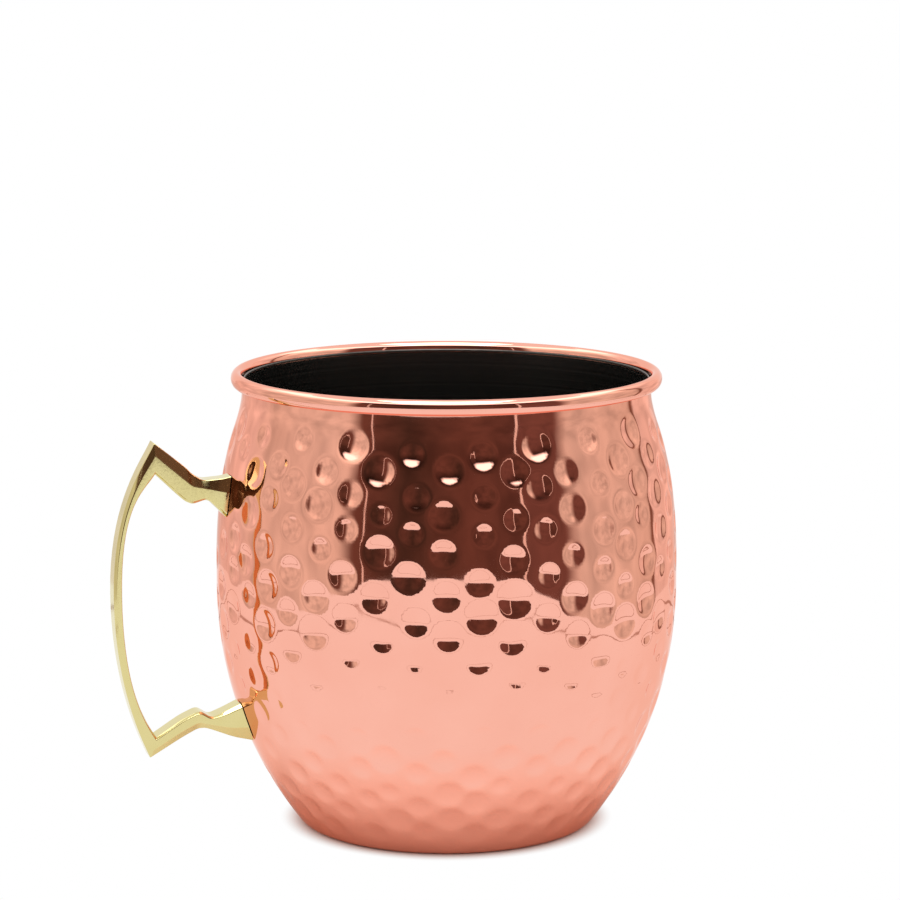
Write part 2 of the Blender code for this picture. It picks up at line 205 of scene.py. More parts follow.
def spun(points, steps):
    """A closed profile of (radius, height) points turned once round the barrel's axis. Each vertex keeps
    the number of its profile point in the layer called row."""
    bm = bmesh.new()
    row_of = bm.verts.layers.int.new("row")
    profile = []
    for number, (radius, height) in enumerate(points):
        profile.append(bm.verts.new((radius, 0.0, height)))
        profile[-1][row_of] = number
    for number, vert in enumerate(profile):
        bm.edges.new((profile[number - 1], vert))
    bmesh.ops.spin(
        bm,
        geom=bm.verts[:] + bm.edges[:],
        axis=(0.0, 0.0, 1.0),
        angle=math.tau,
        steps=steps,
        use_merge=True,
    )
    bmesh.ops.remove_doubles(bm, verts=bm.verts, dist=MERGE_DISTANCE)
    bmesh.ops.recalc_face_normals(bm, faces=bm.faces)
    return bm


def hammered_shell():
    """Spin the sheet as a closed profile, then press every mark through both of its faces."""
    outside = [(*station, 0.0) for station in sheet_stations(OUTSIDE_ROW)]
    inside = [(*station, SHELL_SHEET) for station in sheet_stations(INSIDE_ROW)]
    rows = outside + inside[::-1]
    bm = spun([point - depth * normal for point, normal, _, depth in rows], SHELL_STEPS)
    row_of = bm.verts.layers.int["row"]
    for vert in bm.verts:
        point, normal, hammered, depth = rows[vert[row_of]]
        if hammered:
            around = Vector((vert.co.x, vert.co.y)).normalized()
            place = Vector((point.x * around.x, point.x * around.y, point.y))
            outward = Vector((normal.x * around.x, normal.x * around.y, normal.y))
            vert.co = place - (depth + mark_depth(place)) * outward
    return bm


def linear(hex_color):
    """Linear RGBA of an sRGB hex colour."""
    channels = [int(hex_color[k : k + 2], 16) / 255 for k in (1, 3, 5)]
    return (*(c / 12.92 if c <= 0.04045 else ((c + 0.055) / 1.055) ** 2.4 for c in channels), 1.0)


def add_node(tree, kind, settings, inputs):
    """A node with its settings; each input is a plain value or the socket that feeds it."""
    made = tree.nodes.new(kind)
    for name, value in settings.items():
        setattr(made, name, value)
    for name, value in inputs.items():
        if isinstance(value, bpy.types.NodeSocket):
            tree.links.new(value, made.inputs[name])
        else:
            made.inputs[name].default_value = value
    return made


def new_metal(name, inputs):
    """A metal's material with these shader inputs, and its node tree and shader to add a pattern to."""
    made = bpy.data.materials.new(name)
    made.use_nodes = True
    shader = made.node_tree.nodes["Principled BSDF"]
    shader.inputs["Metallic"].default_value = 1.0
    for socket, value in inputs.items():
        shader.inputs[socket].default_value = value
    return made, made.node_tree, shader


# Sockets of Blender's Mix node when it mixes colours, and the range of most of a noise's values
MIX_FROM, MIX_TO, MIX_RESULT = 6, 7, 2
NOISE_LOW, NOISE_HIGH = 0.3, 0.7

# Copper plate, bright from the bath and buffed: a rose-coloured mirror. The eye sees sharp reflections,
# a slight ripple left by the buff, and faint clouds where lacquer and handling have dulled it.
COPPER_BRIGHT = "#FDBBA8"
COPPER_CLOUDED = "#F6AE99"
COPPER_EDGE = "#F9DDD2"
COPPER_CLOUD = 0.030
COPPER_CLOUD_DETAIL = 3.0
COPPER_HAZE = 0.004
COPPER_HAZE_DETAIL = 4.0
COPPER_SHARPEST, COPPER_DULLEST = 0.03, 0.06
COPPER_RIPPLE = 0.006
COPPER_RIPPLE_DETAIL = 1.0
COPPER_RIPPLE_HEIGHT = 0.000006


def copper_plate():
    """Mirror copper with clouds in its colour, haze in its polish and a fine ripple."""
    made, tree, shader = new_metal("copper_plate_buffed", {"Specular Tint": linear(COPPER_EDGE)})
    place = add_node(tree, "ShaderNodeTexCoord", {}, {}).outputs["Object"]
    cloud = add_node(
        tree,
        "ShaderNodeTexNoise",
        {},
        {"Vector": place, "Scale": 1 / COPPER_CLOUD, "Detail": COPPER_CLOUD_DETAIL},
    )
    color = add_node(
        tree,
        "ShaderNodeMix",
        {"data_type": "RGBA"},
        {"Factor": cloud.outputs["Fac"], MIX_FROM: linear(COPPER_BRIGHT), MIX_TO: linear(COPPER_CLOUDED)},
    )
    haze = add_node(
        tree,
        "ShaderNodeTexNoise",
        {},
        {"Vector": place, "Scale": 1 / COPPER_HAZE, "Detail": COPPER_HAZE_DETAIL},
    )
    polish = add_node(
        tree,
        "ShaderNodeMapRange",
        {},
        {
            "Value": haze.outputs["Fac"],
            "From Min": NOISE_LOW,
            "From Max": NOISE_HIGH,
            "To Min": COPPER_SHARPEST,
            "To Max": COPPER_DULLEST,
        },
    )
    ripple = add_node(
        tree,
        "ShaderNodeTexNoise",
        {},
        {"Vector": place, "Scale": 1 / COPPER_RIPPLE, "Detail": COPPER_RIPPLE_DETAIL},
    )
    bump = add_node(
        tree,
        "ShaderNodeBump",
        {},
        {"Height": ripple.outputs["Fac"], "Distance": COPPER_RIPPLE_HEIGHT},
    )
    tree.links.new(color.outputs[MIX_RESULT], shader.inputs["Base Color"])
    tree.links.new(polish.outputs["Result"], shader.inputs["Roughness"])
    tree.links.new(bump.outputs["Normal"], shader.inputs["Normal"])
    return made


def add_object(name, bm, material):
    """A finished mesh as an object at the origin, all in one material."""
    mesh = bpy.data.meshes.new(name)
    bm.to_mesh(mesh)
    bm.free()
    mesh.materials.append(material)
    made = bpy.data.objects.new(name, mesh)
    bpy.context.scene.collection.objects.link(made)
    return made


def add_piece(name, bm, metal, crease):
    """A piece of the bucket, shaded smooth and creased where its faces turn by more than this angle."""
    made = add_object(name, bm, metal)
    made.data.shade_smooth()
    made.data.set_sharp_from_angle(angle=crease)
    return made


COPPER_PLATE = copper_plate()
shell = add_piece("hammered_shell", hammered_shell(), COPPER_PLATE, SHELL_CREASE)
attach(shell, "root")
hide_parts("outer_shell")

# Base plate: a disc of the same plated sheet, pressed so that its middle stands level with the shell's
# foot while its lip lies inside, on the turned-in edge of the shell.

FIT_GAP = 0.0003
PLATE_SHEET = 0.0008
PLATE_LIP = 0.005
PLATE_STEP_GAP = 0.001
PLATE_STEP_RUN = 0.0014
PLATE_STEPS = 180
PLATE_CREASE = math.radians(40)


def base_pressing():
    """Spin the pressed profile: the underside from its lip to the middle, then the inside back."""
    lip_height = SHELL_SHEET + FIT_GAP
    step = BASE_HOLE_RADIUS - PLATE_STEP_GAP
    lip = BASE_HOLE_RADIUS + PLATE_LIP
    underside = [(lip, lip_height), (step, lip_height), (step - PLATE_STEP_RUN, 0.0), (0.0, 0.0)]
    inside = [(radius, height + PLATE_SHEET) for radius, height in reversed(underside)]
    return spun(underside + inside, PLATE_STEPS)


plate = add_piece("base_pressing", base_pressing(), COPPER_PLATE, PLATE_CREASE)
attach(plate, "root")
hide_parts("base_plate")

# Liner: a plain cup of stainless steel, spun to a round bottom and dropped in through the neck. Its top
# edge stands just under the crown of the rim, where it is soldered in.

LINER_SHEET = 0.0006
LINER_DROP = 0.005
LINER_WALL_FOOT = 0.100
LINER_FLOOR_HEIGHT = 0.008
LINER_FLOOR_RADIUS = 0.050
LINER_RADIUS = NECK_RADIUS - SHELL_SHEET - FIT_GAP
LINER_TOP = HEIGHT - LINER_DROP
LINER_STEPS = 240
LINER_BOTTOM_STEPS = 28
LINER_CREASE = math.radians(40)


def spun_liner():
    """Spin the cup as a closed sheet, from the edge down its outside and up its inside."""
    bend = Vector((LINER_FLOOR_RADIUS, LINER_WALL_FOOT))
    reach_out = LINER_RADIUS - LINER_FLOOR_RADIUS
    reach_down = LINER_WALL_FOOT - LINER_FLOOR_HEIGHT
    outside = [Vector((LINER_RADIUS, LINER_TOP))]
    inside = [Vector((LINER_RADIUS - LINER_SHEET, LINER_TOP))]
    for step in range(LINER_BOTTOM_STEPS + 1):
        turn = toward(-math.pi / 2 * step / LINER_BOTTOM_STEPS)
        point = bend + Vector((reach_out * turn.x, reach_down * turn.y))
        normal = Vector((turn.x / reach_out, turn.y / reach_down)).normalized()
        outside.append(point)
        inside.append(point - LINER_SHEET * normal)
    outside.append(Vector((0.0, LINER_FLOOR_HEIGHT)))
    inside.append(Vector((0.0, LINER_FLOOR_HEIGHT + LINER_SHEET)))
    return spun(outside + inside[::-1], LINER_STEPS)


# Stainless steel with a spun finish: fine rings left by the polishing pad, which blur what it mirrors.
# Real rings are finer, and are drawn coarser here so that they show.
STEEL_LIGHT = "#8F8F8C"
STEEL_DARK = "#7C7D7B"
STEEL_RING = 0.0011
STEEL_RING_DETAIL = 3.0
STEEL_RING_HEIGHT = 0.000004
STEEL_SHARPEST, STEEL_DULLEST = 0.16, 0.24


def stainless_steel():
    """Satin steel whose tone and polish change from ring to ring up the wall and across the floor."""
    made, tree, shader = new_metal("stainless_steel_spun", {})
    place = add_node(tree, "ShaderNodeTexCoord", {}, {}).outputs["Object"]
    axes = add_node(tree, "ShaderNodeSeparateXYZ", {}, {"Vector": place})
    flat = add_node(
        tree,
        "ShaderNodeCombineXYZ",
        {},
        {"X": axes.outputs["X"], "Y": axes.outputs["Y"]},
    )
    radius = add_node(
        tree,
        "ShaderNodeVectorMath",
        {"operation": "LENGTH"},
        {0: flat.outputs["Vector"]},
    )
    along = add_node(
        tree,
        "ShaderNodeMath",
        {"operation": "SUBTRACT"},
        {0: axes.outputs["Z"], 1: radius.outputs["Value"]},
    )
    rings = add_node(
        tree,
        "ShaderNodeTexNoise",
        {"noise_dimensions": "1D"},
        {"W": along.outputs["Value"], "Scale": 1 / STEEL_RING, "Detail": STEEL_RING_DETAIL},
    )
    color = add_node(
        tree,
        "ShaderNodeMix",
        {"data_type": "RGBA"},
        {"Factor": rings.outputs["Fac"], MIX_FROM: linear(STEEL_LIGHT), MIX_TO: linear(STEEL_DARK)},
    )
    polish = add_node(
        tree,
        "ShaderNodeMapRange",
        {},
        {
            "Value": rings.outputs["Fac"],
            "From Min": NOISE_LOW,
            "From Max": NOISE_HIGH,
            "To Min": STEEL_SHARPEST,
            "To Max": STEEL_DULLEST,
        },
    )
    bump = add_node(
        tree,
        "ShaderNodeBump",
        {},
        {"Height": rings.outputs["Fac"], "Distance": STEEL_RING_HEIGHT},
    )
    tree.links.new(color.outputs[MIX_RESULT], shader.inputs["Base Color"])
    tree.links.new(polish.outputs["Result"], shader.inputs["Roughness"])
    tree.links.new(bump.outputs["Normal"], shader.inputs["Normal"])
    return made


liner = add_piece("spun_liner", spun_liner(), stainless_steel(), LINER_CREASE)
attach(liner, "root")
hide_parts("inner_liner")

# Rim seam: a fillet of silver solder on the liner's edge, run round with an iron. It closes the air
# space between the two walls and slopes so that water drains into the liner.

SEAM_HEIGHT = 0.0012
SEAM_STEPS = 240
SEAM_FILLET_STEPS = 5
SEAM_CREASE = math.radians(50)
SEAM_RIPPLE = 0.00008
SEAM_RIPPLES = 90


def solder_ring():
    """Spin the fillet, hollow on its face, and leave the small ripples of the iron on it."""
    inside = LINER_RADIUS - LINER_SHEET
    foot = LINER_TOP + FIT_GAP
    face = []
    for step in range(SEAM_FILLET_STEPS + 1):
        turn = math.pi / 2 * step / SEAM_FILLET_STEPS
        height = foot + SEAM_HEIGHT * (1 + math.sin(turn)) / 2
        face.append((inside + LINER_SHEET * (1 - math.cos(turn)), height))
    bm = spun([(inside, foot), *face, (LINER_RADIUS, foot)], SEAM_STEPS)
    row_of = bm.verts.layers.int["row"]
    for vert in bm.verts:
        if 0 < vert[row_of] <= SEAM_FILLET_STEPS:
            angle = math.atan2(vert.co.y, vert.co.x)
            vert.co.z -= SEAM_RIPPLE * (1 + math.sin(SEAM_RIPPLES * angle)) / 2
    return bm


# Silver solder, tarnished: soft grey metal with a frosted skin, so its reflections are dull.
SOLDER_BRIGHT = "#5E5B57"
SOLDER_FROSTED = "#474440"
SOLDER_GRAIN = 0.0015
SOLDER_GRAIN_DETAIL = 3.0
SOLDER_ROUGHNESS = 0.38


def silver_solder():
    """Grey metal, mottled where the skin froze."""
    made, tree, shader = new_metal("silver_solder", {"Roughness": SOLDER_ROUGHNESS})
    place = add_node(tree, "ShaderNodeTexCoord", {}, {}).outputs["Object"]
    grain = add_node(
        tree,
        "ShaderNodeTexNoise",
        {},
        {"Vector": place, "Scale": 1 / SOLDER_GRAIN, "Detail": SOLDER_GRAIN_DETAIL},
    )
    color = add_node(
        tree,
        "ShaderNodeMix",
        {"data_type": "RGBA"},
        {"Factor": grain.outputs["Fac"], MIX_FROM: linear(SOLDER_BRIGHT), MIX_TO: linear(SOLDER_FROSTED)},
    )
    tree.links.new(color.outputs[MIX_RESULT], shader.inputs["Base Color"])
    return made


seam = add_piece("solder_ring", solder_ring(), silver_solder(), SEAM_CREASE)
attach(seam, "root")
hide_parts("rim_seam")

# Handle: one brass casting, an eight-sided bar that leaves the wall on a tall foot, kinks up to a point,
# bows down and kinks back to the lower foot. It is linished to flat facets and buffed, with its edges
# just broken, and each foot is filed to the barrel and screwed on from inside.

HANDLE_FLAT = 0.009
OUTER_BEVEL_SHARE = 0.38
INNER_BEVEL_SHARE = 0.10
HANDLE_EDGE = 0.0003
HANDLE_EDGE_TURN = math.radians(10)
HANDLE_EDGE_SEGMENTS = 2
KINK_SHARE = 0.3
KINK_STEPS = 7
BOW_REACH = 0.0514
BOW_THICKNESS = 0.0039
BOW_CREST_HEIGHT = 0.1155
BOW_CREST_RUN = 0.043
BOW_SPIKE_RUN = 0.009
BOW_CORNER_RUN = 0.010
BOW_SPIKE_LEAN = math.radians(23)
BOW_CORNER_LEAN = math.radians(33)
BOW_STEPS = 18
FOOT_ROWS = 6
HANDLE_CREASE = math.radians(60)

# Outline of each arm: (out from the wall, up from the foot) of the outer and then the inner edge
UPPER_ARM = [
    ((0.0019, 0.0086), (0.0035, -0.0069)),
    ((0.0115, 0.0080), (0.0098, -0.0005)),
    ((0.0165, 0.0111), (0.0167, -0.0026)),
    ((0.0198, 0.0147), (0.0207, -0.0008)),
    ((0.0341, 0.0264), (0.0338, 0.0120)),
]
LOWER_ARM = [
    ((0.0062, -0.0067), (0.0101, 0.0058)),
    ((0.0191, -0.0014), (0.0166, 0.0033)),
    ((0.0231, -0.0014), (0.0222, 0.0070)),
    ((0.0304, -0.0050), (0.0303, 0.0035)),
    ((0.0456, -0.0137), (0.0426, -0.0042)),
]


def barrel_at_height(height):
    """Point of the barrel's outside face at a height, and its outward normal."""
    for first, second in zip(BARREL, BARREL[1:]):
        if second.y <= height:
            share = (first.y - height) / (first.y - second.y)
            along = (second - first).normalized()
            return first.lerp(second, share), Vector((-along.y, along.x))


def arm_sections(arm, foot_height, outer_side):
    """Outer and inner edge points of an arm, starting with its foot on the wall."""
    wall, normal = barrel_at_height(foot_height)
    half_foot = outer_side * FOOT_LENGTH / 2 * Vector((-normal.y, normal.x))
    sections = [(wall + half_foot, wall - half_foot)]
    for outer, inner in arm:
        sections.append((wall + Vector(outer), wall + Vector(inner)))
    return sections


def eased(sections):
    """The same arm with its kinks rounded, as the casting has them."""
    made = sections[:1]
    for before, kink, after in zip(sections, sections[1:], sections[2:]):
        for step in range(KINK_STEPS + 1):
            share = step / KINK_STEPS
            turned = []
            for last, corner, following in zip(before, kink, after):
                arriving = corner.lerp(last, KINK_SHARE * (1 - share))
                leaving = corner.lerp(following, KINK_SHARE * share)
                turned.append(arriving.lerp(leaving, share))
            made.append(turned)
    return made + sections[-1:]


def bow_edge(start, end, crest_radius, lean, run):
    """Points from one end of the bow over its crest to the other, without the two ends."""
    crest = Vector((crest_radius, BOW_CREST_HEIGHT))
    crest_run = Vector((0.0, BOW_CREST_RUN))
    leave = start + run * Vector((math.sin(lean), -math.cos(lean)))
    arrive = end + run * Vector((math.sin(lean), math.cos(lean)))
    upper = interpolate_bezier(start, leave, crest + crest_run, crest, BOW_STEPS + 1)
    lower = interpolate_bezier(crest, crest - crest_run, arrive, end, BOW_STEPS + 1)
    return upper[1:] + lower[1:-1]


def section_ring(bm, outer, inner):
    """Eight-sided section: narrow flats outside and inside, bevels, and two side faces."""
    corners = [
        (0.0, HANDLE_FLAT / 2),
        (INNER_BEVEL_SHARE, HANDLE_WIDTH / 2),
        (1.0 - OUTER_BEVEL_SHARE, HANDLE_WIDTH / 2),
        (1.0, HANDLE_FLAT / 2),
    ]
    corners += [(share, -across) for share, across in reversed(corners)]
    verts = []
    for share, across in corners:
        point = inner.lerp(outer, share)
        verts.append(bm.verts.new((-point.x, across, point.y)))
    return [bm.edges.new((verts[k - 1], verts[k])) for k in range(len(verts))]


def on_barrel(place):
    """The point of the barrel's face, with its fit gap, at the same height and distance across."""
    wall, normal = barrel_at_height(place.z)
    radius = wall.x + FIT_GAP / normal.x
    return Vector((-math.sqrt(radius**2 - place.y**2), place.y, place.z))


def cast_handle():
    """Loft the sections, break the edges, and file the two feet to the barrel."""
    upper = eased(arm_sections(UPPER_ARM, UPPER_FOOT_HEIGHT, 1))
    lower = eased(arm_sections(LOWER_ARM, LOWER_FOOT_HEIGHT, -1))
    crest = BELLY_RADIUS + BOW_REACH
    outer = bow_edge(upper[-1][0], lower[-1][0], crest, BOW_SPIKE_LEAN, BOW_SPIKE_RUN)
    inner = bow_edge(upper[-1][1], lower[-1][1], crest - BOW_THICKNESS, BOW_CORNER_LEAN, BOW_CORNER_RUN)
    sections = upper + list(zip(outer, inner)) + lower[::-1]
    bm = bmesh.new()
    rings = [section_ring(bm, *section) for section in sections]
    for first, second in zip(rings, rings[1:]):
        bmesh.ops.bridge_loops(bm, edges=first + second)
    bmesh.ops.recalc_face_normals(bm, faces=bm.faces)
    edges = [edge for edge in bm.edges if not edge.is_boundary]
    turns = [edge for edge in edges if edge.calc_face_angle() > HANDLE_EDGE_TURN]
    bmesh.ops.bevel(
        bm,
        geom=turns,
        offset=HANDLE_EDGE,
        offset_type="OFFSET",
        segments=HANDLE_EDGE_SEGMENTS,
        profile=0.5,
        affect="EDGES",
        material=-1,
        clamp_overlap=True,
    )
    rims = [edge for edge in bm.edges if edge.is_boundary]
    bmesh.ops.subdivide_edges(bm, edges=rims, cuts=FOOT_ROWS)
    for vert in {vert for edge in bm.edges if edge.is_boundary for vert in edge.verts}:
        vert.co = on_barrel(vert.co)
    bmesh.ops.holes_fill(bm, edges=[edge for edge in bm.edges if edge.is_boundary], sides=0)
    bmesh.ops.recalc_face_normals(bm, faces=bm.faces)
    return bm


# Cast brass, buffed and lacquered: a greenish-yellow mirror, a little softer than the plate, with the
# faint drag lines and pits that a buffing wheel leaves on a casting.
BRASS_BRIGHT = "#E2D69C"
BRASS_DRAGGED = "#DACC8A"
BRASS_DRAG = 0.012
BRASS_DRAG_DETAIL = 3.0
BRASS_PIT = 0.0012
BRASS_PIT_DETAIL = 2.0
BRASS_PIT_HEIGHT = 0.000012
BRASS_SHARPEST, BRASS_DULLEST = 0.08, 0.14


def cast_brass():
    """Bright brass with long clouds of colour and a fine unevenness in its polish."""
    made, tree, shader = new_metal("cast_brass_buffed", {})
    place = add_node(tree, "ShaderNodeTexCoord", {}, {}).outputs["Object"]
    drag = add_node(
        tree,
        "ShaderNodeTexNoise",
        {},
        {"Vector": place, "Scale": 1 / BRASS_DRAG, "Detail": BRASS_DRAG_DETAIL},
    )
    color = add_node(
        tree,
        "ShaderNodeMix",
        {"data_type": "RGBA"},
        {"Factor": drag.outputs["Fac"], MIX_FROM: linear(BRASS_BRIGHT), MIX_TO: linear(BRASS_DRAGGED)},
    )
    pits = add_node(
        tree,
        "ShaderNodeTexNoise",
        {},
        {"Vector": place, "Scale": 1 / BRASS_PIT, "Detail": BRASS_PIT_DETAIL},
    )
    polish = add_node(
        tree,
        "ShaderNodeMapRange",
        {},
        {
            "Value": pits.outputs["Fac"],
            "From Min": NOISE_LOW,
            "From Max": NOISE_HIGH,
            "To Min": BRASS_SHARPEST,
            "To Max": BRASS_DULLEST,
        },
    )
    bump = add_node(
        tree,
        "ShaderNodeBump",
        {},
        {"Height": pits.outputs["Fac"], "Distance": BRASS_PIT_HEIGHT},
    )
    tree.links.new(color.outputs[MIX_RESULT], shader.inputs["Base Color"])
    tree.links.new(polish.outputs["Result"], shader.inputs["Roughness"])
    tree.links.new(bump.outputs["Normal"], shader.inputs["Normal"])
    return made


handle = add_piece("cast_handle", cast_handle(), cast_brass(), HANDLE_CREASE)
handle.modifiers.new("flat_facets", "WEIGHTED_NORMAL").keep_sharp = True
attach(handle, "root")
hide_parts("handle")

# Handle screws and washers: steel, zinc plated, out of sight in the air space between the two walls.
# Their solids are right as they are, so only the finish is added here.

# Zinc plate: grey with a slight bluish spangle.
ZINC_LIGHT = "#C3C7CC"
ZINC_DARK = "#A4A8AE"
ZINC_SPANGLE = 0.0016
ZINC_ROUGHNESS = 0.36


def zinc_plate():
    """Dull bright plate, spangled from crystal to crystal."""
    made, tree, shader = new_metal("zinc_plated_steel", {"Roughness": ZINC_ROUGHNESS})
    place = add_node(tree, "ShaderNodeTexCoord", {}, {}).outputs["Object"]
    spangle = add_node(
        tree,
        "ShaderNodeTexVoronoi",
        {},
        {"Vector": place, "Scale": 1 / ZINC_SPANGLE},
    )
    color = add_node(
        tree,
        "ShaderNodeMix",
        {"data_type": "RGBA"},
        {"Factor": spangle.outputs["Distance"], MIX_FROM: linear(ZINC_LIGHT), MIX_TO: linear(ZINC_DARK)},
    )
    tree.links.new(color.outputs[MIX_RESULT], shader.inputs["Base Color"])
    return made


ZINC_PLATE = zinc_plate()
for fixing in ("handle_screw", "handle_washer"):
    for side in ("upper", "lower"):
        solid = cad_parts[f"{side}_{fixing}"]
        solid.data.materials.clear()
        solid.data.materials.append(ZINC_PLATE)

# Studio: a white table with a white mat on it, lit softly from above, in a pale room. The front of the
# room is dark, so the polished metal has something to mirror. Nothing here is part of the bucket.

TABLE = {"left": -0.61, "right": 0.55, "front": -1.18, "back": 0.60, "corner": 0.45}
MAT = {"left": -0.46, "right": 0.42, "front": -0.58, "back": 0.40, "corner": 0.10}
CORNER_SEGMENTS = 8
HEM_WIDTH = 0.016
HEM_LIFT = 0.0003
HEM_COLOR = "#BFA89D"
TABLE_DROP = 0.0002
# Colour of the white cloth near the foot, tinted warm as painted bounce light from the copper. The metal
# mirrors this painted tint out to TABLE_FADE_END, while the camera sees it only out to
# TABLE_FADE_END_SEEN.
TABLE_PAINTED_COPPER_BOUNCE = "#E6CEC0"
TABLE_FADE_START = 0.066
TABLE_FADE_END = 0.150
TABLE_FADE_END_SEEN = 0.079
VIEW_TURN = math.radians(-16.5)


def add_stage(name, bm, paint):
    """A piece of the studio."""
    made = add_object(name, bm, paint)
    return made


def bare_material(name):
    """A material without nodes yet, its node tree, and the place on its surface."""
    made = bpy.data.materials.new(name)
    made.use_nodes = True
    made.node_tree.nodes.clear()
    return made, made.node_tree, add_node(made.node_tree, "ShaderNodeTexCoord", {}, {}).outputs["Object"]


def table_white():
    """White cloth that keeps the bucket's shadow, tinted warm near the foot as painted bounce light from
    the copper, and runs out to pure white. It is clear from below, so that the underside can be looked at."""
    made, tree, place = bare_material("table_white")
    away = add_node(tree, "ShaderNodeVectorMath", {"operation": "LENGTH"}, {0: place})
    rays = add_node(tree, "ShaderNodeLightPath", {}, {})
    fade_end = add_node(
        tree,
        "ShaderNodeMapRange",
        {},
        {"Value": rays.outputs["Is Camera Ray"], "To Min": TABLE_FADE_END, "To Max": TABLE_FADE_END_SEEN},
    )
    fade = add_node(
        tree,
        "ShaderNodeMapRange",
        {"interpolation_type": "SMOOTHSTEP"},
        {
            "Value": away.outputs["Value"],
            "From Min": TABLE_FADE_START,
            "From Max": fade_end.outputs["Result"],
        },
    )
    # The cloth near the foot, in its painted warm bounce light from the copper
    paint = add_node(tree, "ShaderNodeBsdfDiffuse", {}, {"Color": linear(TABLE_PAINTED_COPPER_BOUNCE)})
    glow = add_node(tree, "ShaderNodeEmission", {}, {})
    mixed = add_node(
        tree,
        "ShaderNodeMixShader",
        {},
        {0: fade.outputs["Result"], 1: paint.outputs["BSDF"], 2: glow.outputs["Emission"]},
    )
    sides = add_node(tree, "ShaderNodeNewGeometry", {}, {})
    clear = add_node(tree, "ShaderNodeBsdfTransparent", {}, {})
    one_sided = add_node(
        tree,
        "ShaderNodeMixShader",
        {},
        {0: sides.outputs["Backfacing"], 1: mixed.outputs["Shader"], 2: clear.outputs["BSDF"]},
    )
    add_node(tree, "ShaderNodeOutputMaterial", {}, {"Surface": one_sided.outputs["Shader"]})
    return made


def flat_sheet(width, length):
    """A level sheet of this width and length about the origin."""
    bm = bmesh.new()
    bmesh.ops.create_grid(bm, x_segments=1, y_segments=1, size=0.5)
    bmesh.ops.scale(bm, verts=bm.verts, vec=(width, length, 1.0))
    return bm


def rounded_top(left, right, front, back, corner):
    """A level sheet with round corners, square to the camera."""
    bm = flat_sheet(right - left, back - front)
    bmesh.ops.translate(bm, verts=bm.verts, vec=((left + right) / 2, (front + back) / 2, 0.0))
    bmesh.ops.bevel(
        bm,
        geom=bm.verts[:],
        offset=corner,
        offset_type="OFFSET",
        segments=CORNER_SEGMENTS,
        profile=0.5,
        affect="VERTICES",
        material=-1,
    )
    bmesh.ops.rotate(bm, verts=bm.verts, matrix=Matrix.Rotation(VIEW_TURN, 3, "Z"))
    return bm


def plain_glow(name, color):
    """A surface that shows one even colour."""
    made, tree, _ = bare_material(name)
    glow = add_node(tree, "ShaderNodeEmission", {}, {"Color": linear(color)})
    add_node(tree, "ShaderNodeOutputMaterial", {}, {"Surface": glow.outputs["Emission"]})
    return made


def only_mirrored(made):
    """Show a piece of the studio in the metal alone."""
    made.visible_camera = False
    made.visible_diffuse = False
    made.visible_shadow = False


bm = rounded_top(**TABLE)
bmesh.ops.translate(bm, verts=bm.verts, vec=(0.0, 0.0, -TABLE_DROP))
add_stage("table_top", bm, table_white())
bm = rounded_top(**MAT)
sheet = bm.faces[:]
bmesh.ops.inset_region(bm, faces=sheet, thickness=HEM_WIDTH, use_boundary=True)
bmesh.ops.delete(bm, geom=sheet, context="FACES_ONLY")
bmesh.ops.translate(bm, verts=bm.verts, vec=(0.0, 0.0, HEM_LIFT))
only_mirrored(add_stage("mat_hem", bm, plain_glow("mat_hem_thread", HEM_COLOR)))

# Room that only the metal sees: its colour at angles in degrees from left to right of the camera's
# side, and a lit cove round its top. A band's tone sets how its light changes towards the cove.
ROOM_RADIUS = 2.4
ROOM_BOTTOM = -1.2
ROOM_TOP = 3.2
ROOM_STEPS = 96
ROOM_OPENING = math.radians(148)
ROOM_CLOUD = 0.5
ROOM_CLOUD_DETAIL = 2.0
ROOM_CLOUD_DIM, ROOM_CLOUD_LIT = 0.8, 1.2
ROOM_RISE_START = 1.0
ROOM_RISE_END = 1.8
ROOM_DARK_TONE, ROOM_DARK_RISE = 0.1, 0.28
ROOM_PALE_TONE, ROOM_PALE_RISE = 0.6, 1.7
COVE_START = 1.8
COVE_END = 2.3
COVE_LIGHT = 2.2
ROOM_WHITE = "#F6EEEA"
ROOM_CREAM = "#E0D8CD"
ROOM_TAN = "#8A6656"
ROOM_RUSSET = "#74524A"
ROOM_BROWN = "#6A4A40"
ROOM_DEEP_BROWN = "#5C4038"
ROOM_UMBER = "#44342C"
ROOM = [
    (-180, ROOM_WHITE),
    (-126, ROOM_WHITE),
    (-108, ROOM_CREAM),
    (-53, ROOM_CREAM),
    (-46, ROOM_BROWN),
    (-20, ROOM_UMBER),
    (10, ROOM_BROWN),
    (37, ROOM_DEEP_BROWN),
    (39, ROOM_RUSSET),
    (60, ROOM_RUSSET),
    (68, ROOM_CREAM),
    (119, ROOM_CREAM),
    (121, ROOM_TAN),
    (123, ROOM_TAN),
    (125, ROOM_WHITE),
]


